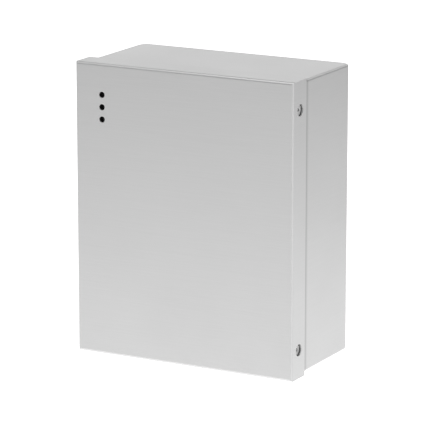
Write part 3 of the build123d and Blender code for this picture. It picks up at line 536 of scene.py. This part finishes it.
# Earth stud: brass, pressed into the back beside the battery, with a flat washer and a nut.
# Machined brass: warm, with turning marks as grain about 0.6 mm.
machined_brass = new_material("machined_brass", "#c9a75c", 0.33, 1.0)
give_grain(machined_brass, 0.0006, "#bd9b50", "#d3b36b", 0.25, 0.42, 0.1)
dress(machined_brass, "earth_stud", "earth_nut", "board_standoffs", "battery_tabs")
earth_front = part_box("earth_nut")[0][1]
earth_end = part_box("earth_stud")[0][1]
earth_x, _, earth_z = middle_of("earth_stud")
earth_place = facing_front(earth_x, earth_front, earth_z)
earth_radius = 0.0025
earth_point = 0.0008
finish_piece("earth_thread",
             turn(thread_profile(earth_radius, earth_front - earth_end - earth_point,
                                 pitch=0.0008, depth=0.00012), 32),
             machined_brass, places=[earth_place], crease=20.0)

# A split spring washer, cut from round wire and slightly twisted open
washer_wire = 0.0006
washer_ring = 0.0035
washer_form = bmesh.new()
bmesh.ops.create_circle(washer_form, cap_ends=True, segments=10, radius=washer_wire,
                        matrix=facing_front(washer_ring, 0, washer_wire))
bmesh.ops.spin(washer_form, geom=all_of(washer_form), cent=(0, 0, 0), axis=(0, 0, 1),
               dvec=(0, 0, 0.00002), angle=math.radians(350), steps=32)
finish_piece("earth_spring_washer", washer_form, zinc_plated, places=[earth_place])


# Mounting plate: a zinc-plated steel sheet that carries the power board, on four clinched studs.
# Its nuts leave a few turns of their threads showing.
plate_nut_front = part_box("plate_nuts")[0][1]
plate_stud_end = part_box("plate_studs")[0][1]
plate_low, plate_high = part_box("mounting_plate")
plate_stud_radius = 0.002
stud_inset = 0.006
finish_piece("plate_stud_threads",
             turn(thread_profile(plate_stud_radius, plate_nut_front - plate_stud_end - stud_point,
                                 pitch=0.0006, depth=0.0001)),
             zinc_plated, crease=20.0,
             places=[facing_front(x, plate_nut_front, z)
                     for x in (plate_low[0] + stud_inset, plate_high[0] - stud_inset)
                     for z in (plate_low[2] + stud_inset, plate_high[2] - stud_inset)])


# Board, bracket and terminal screws: steel, cold headed, with slots and a recess.
# Bright zinc-plated screws: fine grain from barrel plating, about 0.5 mm.
screw_steel = new_material("barrel_plated_steel", "#b9bbbd", 0.35, 1.0)
give_grain(screw_steel, 0.0005, "#adafb1", "#c6c8ca", 0.28, 0.45, 0.12)
dress(screw_steel, "board_screws", "bracket_screws", "terminal_screws")


# Small parts on the power board: diodes, resistors, chips and disc capacitors, soldered through
# it in the spaces between the large parts.
board_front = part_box("power_board")[0][1]
board_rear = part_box("power_board")[1][1]


def on_board(spots):
    return [facing_front(x, board_front, z) for x, z in spots]


diode_spots = [(-0.060 + 0.007 * step, 0.078) for step in range(4)]
diode_lead_reach = 0.0058
diode_radius = 0.0014
diode_rise = 0.0018
upright = Matrix.Rotation(math.pi / 2, 4, "Z")
diode_places = [place @ upright for place in on_board(diode_spots)]
finish_piece("rectifier_diodes",
             axial_part(length=0.0064, body_radius=diode_radius, end_radius=diode_radius,
                        lead_radius=0.0004, lead_reach=diode_lead_reach, rise=diode_rise),
             black_plastic, places=diode_places)
band_width = 0.0008
band_from_middle = 0.0016
band_inner, band_outer = diode_radius - 0.0001, diode_radius + 0.00005
diode_band = turn([(band_inner, 0.0), (band_outer, 0.0), (band_outer, band_width),
                   (band_inner, band_width), (band_inner, 0.0)], 16,
                  Matrix.Translation((band_from_middle, 0, diode_rise)) @ laid_along_x)
finish_piece("diode_bands", diode_band, solder_tin, places=diode_places)
resistor_spots = [(0.0578, 0.020 + 0.005 * step) for step in range(8)]
resistor_lead_reach = 0.0045
finish_piece("board_resistors",
             axial_part(length=0.0064, body_radius=0.001, end_radius=0.00125, lead_radius=0.0003,
                        lead_reach=resistor_lead_reach, rise=0.0015),
             resistor_coat, places=on_board(resistor_spots))


def add_block(form, centre, size, edge, segments=2):
    made = bmesh.ops.create_cube(form, size=1.0, matrix=Matrix.Translation(centre)
                                 @ Matrix.Diagonal((*size, 1.0)))
    edges = list({rim for corner in made["verts"] for rim in corner.link_edges})
    bmesh.ops.bevel(form, geom=edges, offset=edge, offset_type="OFFSET", affect="EDGES",
                    segments=segments, profile=0.5, material=-1)


# Chips: moulded bodies with a round dimple at one end, and a row of bent legs down each side
chip_spots = [(0.0205, 0.026), (-0.0165, 0.028), (0.0, 0.0095)]
chip_length, chip_width, chip_rise, chip_height = 0.0098, 0.0064, 0.0008, 0.0034
leg_width, leg_thickness, leg_length = 0.0009, 0.0005, 0.0026
leg_spacing = 0.00254
leg_steps = (-1.5, -0.5, 0.5, 1.5)
leg_row = chip_width / 2 + 0.0003
leg_middle = 0.0012
chip_places = on_board(chip_spots)
chip_form = bmesh.new()
add_block(chip_form, (0, 0, chip_rise + chip_height / 2), (chip_length, chip_width, chip_height), 0.0004)
finish_piece("control_chips", chip_form, black_plastic, places=chip_places)
dimple_radius = 0.0009
dimple_from_middle = 0.38 * chip_length
dimple_form = turn([(0.0, 0.0), (0.0006, 0.0), (0.0008, 0.00008), (dimple_radius, 0.0),
                    (dimple_radius, -bite / 2), (0.0, -bite / 2)], 16,
                   Matrix.Translation((-dimple_from_middle, 0, chip_rise + chip_height)))
finish_piece("chip_dimples", dimple_form, black_plastic, places=chip_places)
legs_form = bmesh.new()
for side in (-1, 1):
    for step in leg_steps:
        add_block(legs_form, (step * leg_spacing, side * leg_row, leg_middle),
                  (leg_width, leg_thickness, leg_length), 0.0001, 1)
finish_piece("chip_legs", legs_form, solder_tin, places=chip_places)

# Dipped ceramic: the disc capacitors' blue coat, with a soft waxy shine
dipped_ceramic = new_material("dipped_ceramic", "#2c5b8e", 0.35)
give_grain(dipped_ceramic, 0.002, "#285484", "#33659b", 0.28, 0.42, 0.08)
disc_spots = [(0.041, 0.075), (0.041, 0.083), (-0.0575, 0.024), (-0.0575, 0.034)]
disc_radius = 0.0036
disc_half = 0.0014
disc_rise = 0.001
disc_lead = 0.0003
disc_lead_reach = 0.0022
disc_lead_length = 0.003
disc_form = turn([(0.0, disc_half), (0.6 * disc_radius, 0.0013), (0.88 * disc_radius, 0.0009),
                  (disc_radius, 0.0), (0.88 * disc_radius, -0.0009), (0.6 * disc_radius, -0.0013),
                  (0.0, -disc_half)], 28, facing_front(0, 0, disc_radius + disc_rise))
for side in (-1, 1):
    add_rod(disc_form, disc_lead, disc_lead_length,
            Matrix.Translation((side * disc_lead_reach, 0, disc_lead_length / 2)))
finish_piece("disc_capacitors", disc_form, dipped_ceramic, places=on_board(disc_spots))


# Transformer: silicon-steel laminations, stacked and dipped in varnish, round a taped coil.
# The laminations' edges show as lines 0.5 mm apart on every side but the two faces.
lamination = 0.0005
varnished_steel = new_material("varnished_silicon_steel", "#4a4a50", 0.5, 0.6)
core_place = give_grain(varnished_steel, 0.002, "#3e3e44", "#56565c", 0.4, 0.6, 0.1)
layers = add_node(varnished_steel, "ShaderNodeTexWave", {
    "Vector": core_place, "Scale": math.pi / 10 / lamination}, wave_type="BANDS", bands_direction="Z")
add_relief(varnished_steel, layers.outputs["Fac"], 0.6, 0.0001)
dress(varnished_steel, "transformer_core")

# Polyester tape: amber yellow, glossy, wound in turns whose edges lie 6 mm apart
tape_step = 0.006
polyester_tape = new_material("polyester_tape", "#d8b23c", 0.3)
tape_place = give_grain(polyester_tape, 0.004, "#cfa832", "#e2bf50", 0.24, 0.38, 0.08)
tape_turns = add_node(polyester_tape, "ShaderNodeTexWave", {
    "Vector": tape_place, "Scale": math.pi / 10 / tape_step, "Distortion": 0.4},
    wave_type="BANDS", bands_direction="Y", wave_profile="SAW")
add_relief(polyester_tape, tape_turns.outputs["Fac"], 0.5, 0.0002)
dress(polyester_tape, "transformer_coil")

# Solder collars of the coil's pins, five a side, just outside its bobbin
coil_low, coil_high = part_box("transformer_coil")
pins_a_side = 5
pin_out = 0.001
pin_step = (coil_high[0] - coil_low[0]) / pins_a_side
coil_pins = [(coil_low[0] + (0.5 + pin) * pin_step, z)
             for pin in range(pins_a_side) for z in (coil_low[2] - pin_out, coil_high[2] + pin_out)]
pin_form = turn([(0.0, -bite / 2), (0.0012, -bite / 2), (0.0012, 0.0001), (0.0007, 0.0004),
                 (0.0004, 0.0012), (0.0, 0.0012)], 10)
finish_piece("coil_pin_collars", pin_form, solder_tin, places=on_board(coil_pins))


# Smoothing capacitors: drawn aluminium cans in shrunk sleeves, with a pale stripe for the
# negative lead and a bare top, scored to burst safely.
# PVC sleeve: dark blue, satin, with faint shrink wrinkles a few millimetres long.
shrunk_sleeve = new_material("shrunk_pvc_sleeve", "#1e2a4a", 0.35)
give_grain(shrunk_sleeve, 0.003, "#1a2542", "#243256", 0.28, 0.42, 0.1)
sleeve_stripe = new_material("printed_pvc_stripe", "#a9b4c6", 0.4)
give_grain(sleeve_stripe, 0.003, "#a2adbf", "#b4bfd0", 0.32, 0.46, 0.08)
bare_aluminium = new_material("drawn_aluminium", "#c9cbcc", 0.35, 1.0)
give_grain(bare_aluminium, 0.0008, "#c0c2c3", "#d4d6d7", 0.28, 0.42, 0.08)
capacitors = [f"smoothing_capacitor_{number}" for number in (1, 2, 3)]
stripe_foot = 0.0045
stripe_proud = 0.00006
stripe_from = math.radians(150)
stripe_turn = math.radians(42)
can_rim = 0.0016
lid_rise = 0.00025
score_depth = 0.0002
score_half_width = 0.0002
score_directions = [Vector((math.cos(angle), math.sin(angle), 0)) for angle in
                    (math.pi / 2, math.pi * 5 / 6, math.pi * 7 / 6)]
for number, can in enumerate(capacitors, 1):
    can_low, can_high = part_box(can)
    can_radius = (can_high[0] - can_low[0]) / 2
    can_height = can_high[1] - can_low[1]
    can_place = facing_front(can_low[0] + can_radius, can_high[1], can_low[2] + can_radius)
    dress(shrunk_sleeve, can)
    stripe = bmesh.new()
    stripe_head = can_height - can_rim
    outline = [stripe.verts.new((can_radius + out, 0, height)) for out, height in
               ((-bite, stripe_foot), (stripe_proud, stripe_foot),
                (stripe_proud, stripe_head), (-bite, stripe_head))]
    stripe.faces.new(outline)
    bmesh.ops.spin(stripe, geom=all_of(stripe), cent=(0, 0, 0), axis=(0, 0, 1), angle=stripe_turn,
                   steps=8)
    bmesh.ops.rotate(stripe, cent=(0, 0, 0), matrix=Matrix.Rotation(stripe_from, 3, "Z"),
                     verts=stripe.verts[:])
    finish_piece(f"capacitor_stripe_{number}", stripe, sleeve_stripe, places=[can_place])
    lid_radius = can_radius - can_rim
    lid = turn([(0.0, lid_rise), (0.7 * lid_radius, lid_rise), (0.94 * lid_radius, lid_rise),
                (lid_radius, lid_rise - 0.0001), (lid_radius, -bite), (0.0, -bite)], 40)
    # The scores are V grooves: cuts beside and along each one, with the middle cut pressed in
    for across in score_directions:
        for shift in (-score_half_width, 0.0, score_half_width):
            bmesh.ops.bisect_plane(lid, geom=all_of(lid), dist=0.000001, plane_co=across * shift,
                                   plane_no=across)
    for corner in lid.verts:
        on_score = min(abs(corner.co.dot(across)) for across in score_directions) < 0.00001
        if on_score and corner.co.z > 0 and corner.co.xy.length < 0.8 * lid_radius:
            corner.co.z = lid_rise - score_depth
    finish_piece(f"capacitor_lid_{number}", lid, bare_aluminium,
                 places=[can_place @ Matrix.Translation((0, 0, can_height))])


# Heat sink: a comb of extruded aluminium, sawn off and anodised black, that cools the two power
# transistors. The lines of the die run along its length, about 0.4 mm apart.
die_line_gap = 0.0004
die_line_length = 0.03
anodised_aluminium = new_material("anodised_aluminium", "#26272a", 0.4, 0.7)
sink_place = give_grain(anodised_aluminium, 0.002, "#222326", "#2e2f33", 0.34, 0.48, 0.08)
die_stretch = add_node(anodised_aluminium, "ShaderNodeMapping", {
    "Vector": sink_place, "Scale": (1 / die_line_gap, 1 / die_line_length, 1 / die_line_gap)})
die_lines = add_node(anodised_aluminium, "ShaderNodeTexNoise", {
    "Vector": die_stretch.outputs[0], "Scale": 1.0, "Detail": 2.0})
add_relief(anodised_aluminium, die_lines.outputs["Fac"], 0.3)
dress(anodised_aluminium, "heat_sink")


# Power transistors: moulded epoxy bodies on tinned copper tabs, each screwed to the heat sink.
# One material serves body, tab and legs, because the tab's back and the legs are bare metal.
tab_from_z = 0.0795
legs_from_y = board_front - 0.0036
transistor_finish = new_material("epoxy_on_tinned_copper", "#141414", 0.5)
transistor_place = give_grain(transistor_finish, 0.0006, "#101010", "#1a1a1a", 0.4, 0.55, 0.12)
transistor_at = add_node(transistor_finish, "ShaderNodeSeparateXYZ", {"Vector": transistor_place})
on_tab = add_node(transistor_finish, "ShaderNodeMath", {
    0: transistor_at.outputs["Z"], 1: tab_from_z}, operation="GREATER_THAN")
on_legs = add_node(transistor_finish, "ShaderNodeMath", {
    0: transistor_at.outputs["Y"], 1: legs_from_y}, operation="GREATER_THAN")
bare_metal = add_node(transistor_finish, "ShaderNodeMath", {
    0: on_tab.outputs[0], 1: on_legs.outputs[0]}, operation="MAXIMUM")
show_metal(transistor_finish, bare_metal.outputs[0], "#b8babb")
dress(transistor_finish, "power_transistors")

# Their screws: pan heads with a round recess for the driver, standing below the tabs
transistor_x = 0.014
tab_screw_y = board_front - 0.0164
recess_radius, recess_floor = 0.0013, 0.0008
head_form = turn([(0.0, -bite), (0.0025, -bite), (0.0027, 0.0002), (0.0026, 0.0011), (0.0021, 0.0016),
                  (recess_radius, 0.0018), (recess_radius, recess_floor), (0.0, recess_floor)])
finish_piece("tab_screws", head_form, screw_steel, crease=30.0,
             places=[Matrix.Translation((x, tab_screw_y, tab_from_z)) @ Matrix.Rotation(math.pi, 4, "X")
                     for x in (-transistor_x, transistor_x)])


# Relay: a sealed moulded case on a black base, soldered to the board.
# Glass-filled polyester: slate blue, satin, with grain about 0.5 mm.
relay_plastic = new_material("glass_filled_polyester", "#2d3a4c", 0.42)
give_grain(relay_plastic, 0.0005, "#293546", "#334156", 0.36, 0.5, 0.12)
dress(relay_plastic, "relay")
relay_low, relay_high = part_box("relay")
relay_x, _, relay_z = middle_of("relay")
base_step = 0.0003
base_height = 0.0016
relay_base = bmesh.new()
add_block(relay_base, (0, 0, 0), (relay_high[0] - relay_low[0] + 2 * base_step,
                                  relay_high[2] - relay_low[2] + 2 * base_step, base_height), base_step)
finish_piece("relay_base", relay_base, black_plastic,
             places=[facing_front(relay_x, board_front - base_height / 2, relay_z)])


# Choke: an iron-powder ring, lacquered, and wound with one layer of enamelled copper wire.
# Enamelled copper: reddish, glossy, with a slightly uneven lacquer.
wire_radius = 0.00045
turn_count = 26
turns_left_out = 2
enamelled_copper = new_material("enamelled_copper", "#b5623a", 0.28, 1.0)
give_grain(enamelled_copper, 0.0015, "#a65832", "#c06e45", 0.22, 0.36, 0.05)
ring_lacquer = new_material("lacquered_iron_powder", "#7c8a3a", 0.45)
give_grain(ring_lacquer, 0.0008, "#73803a", "#87954a", 0.38, 0.52, 0.15)
dress(ring_lacquer, "choke")
choke_low, choke_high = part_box("choke")
choke_outer = (choke_high[0] - choke_low[0]) / 2
choke_inner = 0.0035
choke_height = choke_high[1] - choke_low[1]
section_middle = (choke_inner + choke_outer) / 2
section_half = (choke_outer - choke_inner) / 2
choke_place = facing_front(*middle_of("choke"))
wire_form = bmesh.new()
bmesh.ops.create_circle(wire_form, segments=6, radius=wire_radius,
                        matrix=Matrix.Translation((section_half, 0, 0)))
bmesh.ops.spin(wire_form, geom=all_of(wire_form), cent=(0, 0, 0), axis=(0, 1, 0),
               angle=2 * math.pi, steps=20, use_merge=True)
# Each round turn is drawn out to the ring's squarish section
for corner in wire_form.verts:
    flat = Vector((corner.co.x, 0, corner.co.z))
    lean = flat.length
    squareness = (abs(flat.x / lean) ** 4 + abs(flat.z / lean) ** 4) ** -0.25
    corner.co.x *= squareness
    corner.co.z *= squareness * choke_height / 2 / section_half
finish_piece("choke_winding", wire_form, enamelled_copper, places=[
    choke_place @ Matrix.Rotation(2 * math.pi * step / (turn_count + turns_left_out), 4, "Z")
    @ Matrix.Translation((section_middle, 0, 0)) for step in range(turn_count)])


# Fuse: a glass cartridge with nickel-plated caps. It lies in two spring clips of nickel-plated
# brass on a black plastic base.
clips_from_y = board_front - 0.0031
holder_finish = new_material("plastic_base_with_nickel_clips", "#101010", 0.5)
holder_place = give_grain(holder_finish, 0.0006, "#0d0d0d", "#171717", 0.35, 0.5, 0.1)
holder_at = add_node(holder_finish, "ShaderNodeSeparateXYZ", {"Vector": holder_place})
on_clips = add_node(holder_finish, "ShaderNodeMath", {
    0: holder_at.outputs["Y"], 1: clips_from_y}, operation="LESS_THAN")
show_metal(holder_finish, on_clips.outputs[0], "#c7c4ba")
dress(holder_finish, "fuse_holder")

# Fuse glass: clear between the caps, with a faint green tint and drawing streaks
cap_length = 0.005
fuse_low, fuse_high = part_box("glass_fuse")
fuse_x = middle_of("glass_fuse")[0]
cap_inner = (fuse_high[0] - fuse_low[0]) / 2 - cap_length
fuse_finish = new_material("fuse_glass_and_caps", "#e6efe9", 0.08)
fuse_place = give_grain(fuse_finish, 0.003, "#dfe9e3", "#eef5f0", 0.05, 0.18, 0.03)
fuse_at = add_node(fuse_finish, "ShaderNodeSeparateXYZ", {"Vector": fuse_place})
along_fuse = add_node(fuse_finish, "ShaderNodeMath", {
    0: fuse_at.outputs["X"], 1: fuse_x}, operation="SUBTRACT")
off_middle = add_node(fuse_finish, "ShaderNodeMath", {0: along_fuse.outputs[0]}, operation="ABSOLUTE")
on_cap = add_node(fuse_finish, "ShaderNodeMath", {
    0: off_middle.outputs[0], 1: cap_inner}, operation="GREATER_THAN")
clear_part = add_node(fuse_finish, "ShaderNodeMath", {0: 1.0, 1: on_cap.outputs[0]}, operation="SUBTRACT")
show_metal(fuse_finish, on_cap.outputs[0], "#c9c7c0")
set_surface(fuse_finish, {"Transmission Weight": clear_part.outputs[0]})
dress(fuse_finish, "glass_fuse")


# Screw terminals: moulded polyamide blocks with plated wire clamps inside their openings.
# Polyamide: green, satin, with grain about 0.5 mm.
polyamide = new_material("moulded_polyamide", "#2f7d4f", 0.4)
give_grain(polyamide, 0.0005, "#2a7349", "#378a59", 0.34, 0.48, 0.1)
dress(polyamide, "mains_terminals", "output_terminals")
clamp_side = 0.0034
clamp_depth = 0.0045
clamp_wall = 0.0004
clamp_from_mouth = 0.001
clamp_y = board_front - 0.004
clamp_form = bmesh.new()
bmesh.ops.create_cube(clamp_form, size=1.0,
                      matrix=Matrix.Diagonal((clamp_side, clamp_side, clamp_depth, 1.0)))
mouth = [face for face in clamp_form.faces if face.normal.z > 0.9]
bmesh.ops.inset_region(clamp_form, faces=mouth, thickness=clamp_wall, use_even_offset=True)
bore = bmesh.ops.extrude_face_region(clamp_form, geom=mouth)
bmesh.ops.translate(clamp_form, vec=(0, 0, -0.8 * clamp_depth),
                    verts=[item for item in bore["geom"] if isinstance(item, bmesh.types.BMVert)])
bmesh.ops.delete(clamp_form, geom=mouth, context="FACES")
clamp_places = []
for block_name, poles in {"mains_terminals": 3, "output_terminals": 4}.items():
    block_low, block_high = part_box(block_name)
    pole_width = (block_high[0] - block_low[0]) / poles
    clamp_places += [Matrix.Translation((block_low[0] + (pole + 0.5) * pole_width, clamp_y,
                                         block_low[2] + clamp_from_mouth + clamp_depth / 2))
                     @ Matrix.Rotation(math.pi, 4, "X") for pole in range(poles)]
finish_piece("wire_clamps", clamp_form, screw_steel, places=clamp_places, crease=30.0)

# Header pins: square tinned wire, pointed, three in each header
pin_side = 0.00094
pin_length = 0.0044
pin_middle = 0.0033
pin_point = 0.0004
pin_spacing = 0.0025
header_pin = bmesh.new()
add_rod(header_pin, pin_side / math.sqrt(2), pin_length,
        Matrix.Translation((0, 0, pin_middle)) @ Matrix.Rotation(math.pi / 4, 4, "Z"), 4)
tip = [face for face in header_pin.faces if face.normal.z > 0.9]
bmesh.ops.inset_region(header_pin, faces=tip, thickness=0.00025, use_even_offset=True)
bmesh.ops.translate(header_pin, vec=(0, 0, pin_point),
                    verts=[corner for face in tip for corner in face.verts])
for header, body, facing_out, near in (("indicator_header", "cover_assembly", facing_wall, 0),
                                       ("board_header", "cabinet", facing_front, 1)):
    header_x, _, header_z = middle_of(header)
    finish_piece(f"{header}_pins", header_pin.copy(), solder_tin, body, crease=20.0,
                 places=[facing_out(header_x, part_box(header)[near][1], header_z + step * pin_spacing)
                         for step in (-1, 0, 1)])
header_pin.free()

# Solder joints on the board's rear face, under the leads of the parts that are soldered through
leg_joint = chip_width / 2 + 0.0006
lead_shares = (0.28, 0.72)
joint_spots = [(x, z + side * diode_lead_reach) for x, z in diode_spots for side in (-1, 1)]
joint_spots += [(x + side * resistor_lead_reach, z) for x, z in resistor_spots for side in (-1, 1)]
joint_spots += [(x + step * leg_spacing, z + side * leg_joint) for x, z in chip_spots
                for step in leg_steps for side in (-1, 1)]
joint_spots += coil_pins
for part in (*capacitors, "relay", "fuse_holder"):
    part_low, part_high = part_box(part)
    joint_spots += [(part_low[0] + share * (part_high[0] - part_low[0]), middle_of(part)[2])
                    for share in lead_shares]
finish_piece("board_solder_joints", turn(joint_profile, 10), solder_tin,
             places=[facing_wall(x, board_rear, z) for x, z in joint_spots])


# Battery: a moulded case with a welded lid, two flat vent covers and flat brass tabs, whose
# rings are red for plus and black for minus.
# ABS: charcoal, with a fine leather-like grain about 0.8 mm.
battery_abs = new_material("moulded_abs", "#2b2c2f", 0.5)
give_grain(battery_abs, 0.0008, "#27282b", "#323337", 0.44, 0.58, 0.2)
dress(battery_abs, "battery")
battery_low, battery_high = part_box("battery")
bracket_low, bracket_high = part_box("battery_bracket")
vent_margin = 0.008
vent_depth = 0.026
vent_height = 0.0014
vent_sunk = 0.0004
vent_from_rear = 0.024
vent_border = 0.0012
vent_recess = 0.0003
for vent, (vent_left, vent_right) in {
        "battery_vent_cover_left": (battery_low[0] + vent_margin, bracket_low[0] - vent_margin),
        "battery_vent_cover_right": (bracket_high[0] + vent_margin, battery_high[0] - vent_margin)}.items():
    vent_form = bmesh.new()
    vent_middle = ((vent_left + vent_right) / 2, battery_high[1] - vent_from_rear,
                   battery_high[2] + vent_height / 2 - vent_sunk)
    add_block(vent_form, vent_middle, (vent_right - vent_left, vent_depth, vent_height), 0.0005, 3)
    top_faces = [face for face in vent_form.faces if face.normal.z > 0.99]
    bmesh.ops.inset_region(vent_form, faces=top_faces, thickness=vent_border, depth=-vent_recess,
                           use_even_offset=True)
    finish_piece(vent, vent_form, battery_abs)
red_plastic = new_material("moulded_red_plastic", "#a3262a", 0.4)
give_grain(red_plastic, 0.0006, "#98222a", "#ad2f31", 0.34, 0.48, 0.1)
tab_low, tab_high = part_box("battery_tabs")
tab_half = 0.0024
ring_inner, ring_outer, ring_height, ring_edge = 0.0037, 0.005, 0.0011, 0.0003
ring_profile = [(ring_inner, -bite), (ring_outer, -bite), (ring_outer, ring_height - ring_edge),
                (ring_outer - ring_edge, ring_height), (ring_inner + ring_edge, ring_height),
                (ring_inner, ring_height - ring_edge), (ring_inner, -bite)]
for ring_name, ring_x, ring_material in (("tab_ring_plus", tab_high[0] - tab_half, red_plastic),
                                         ("tab_ring_minus", tab_low[0] + tab_half, black_plastic)):
    finish_piece(ring_name, turn(ring_profile, 28), ring_material,
                 places=[Matrix.Translation((ring_x, middle_of("battery_tabs")[1], battery_high[2]))])
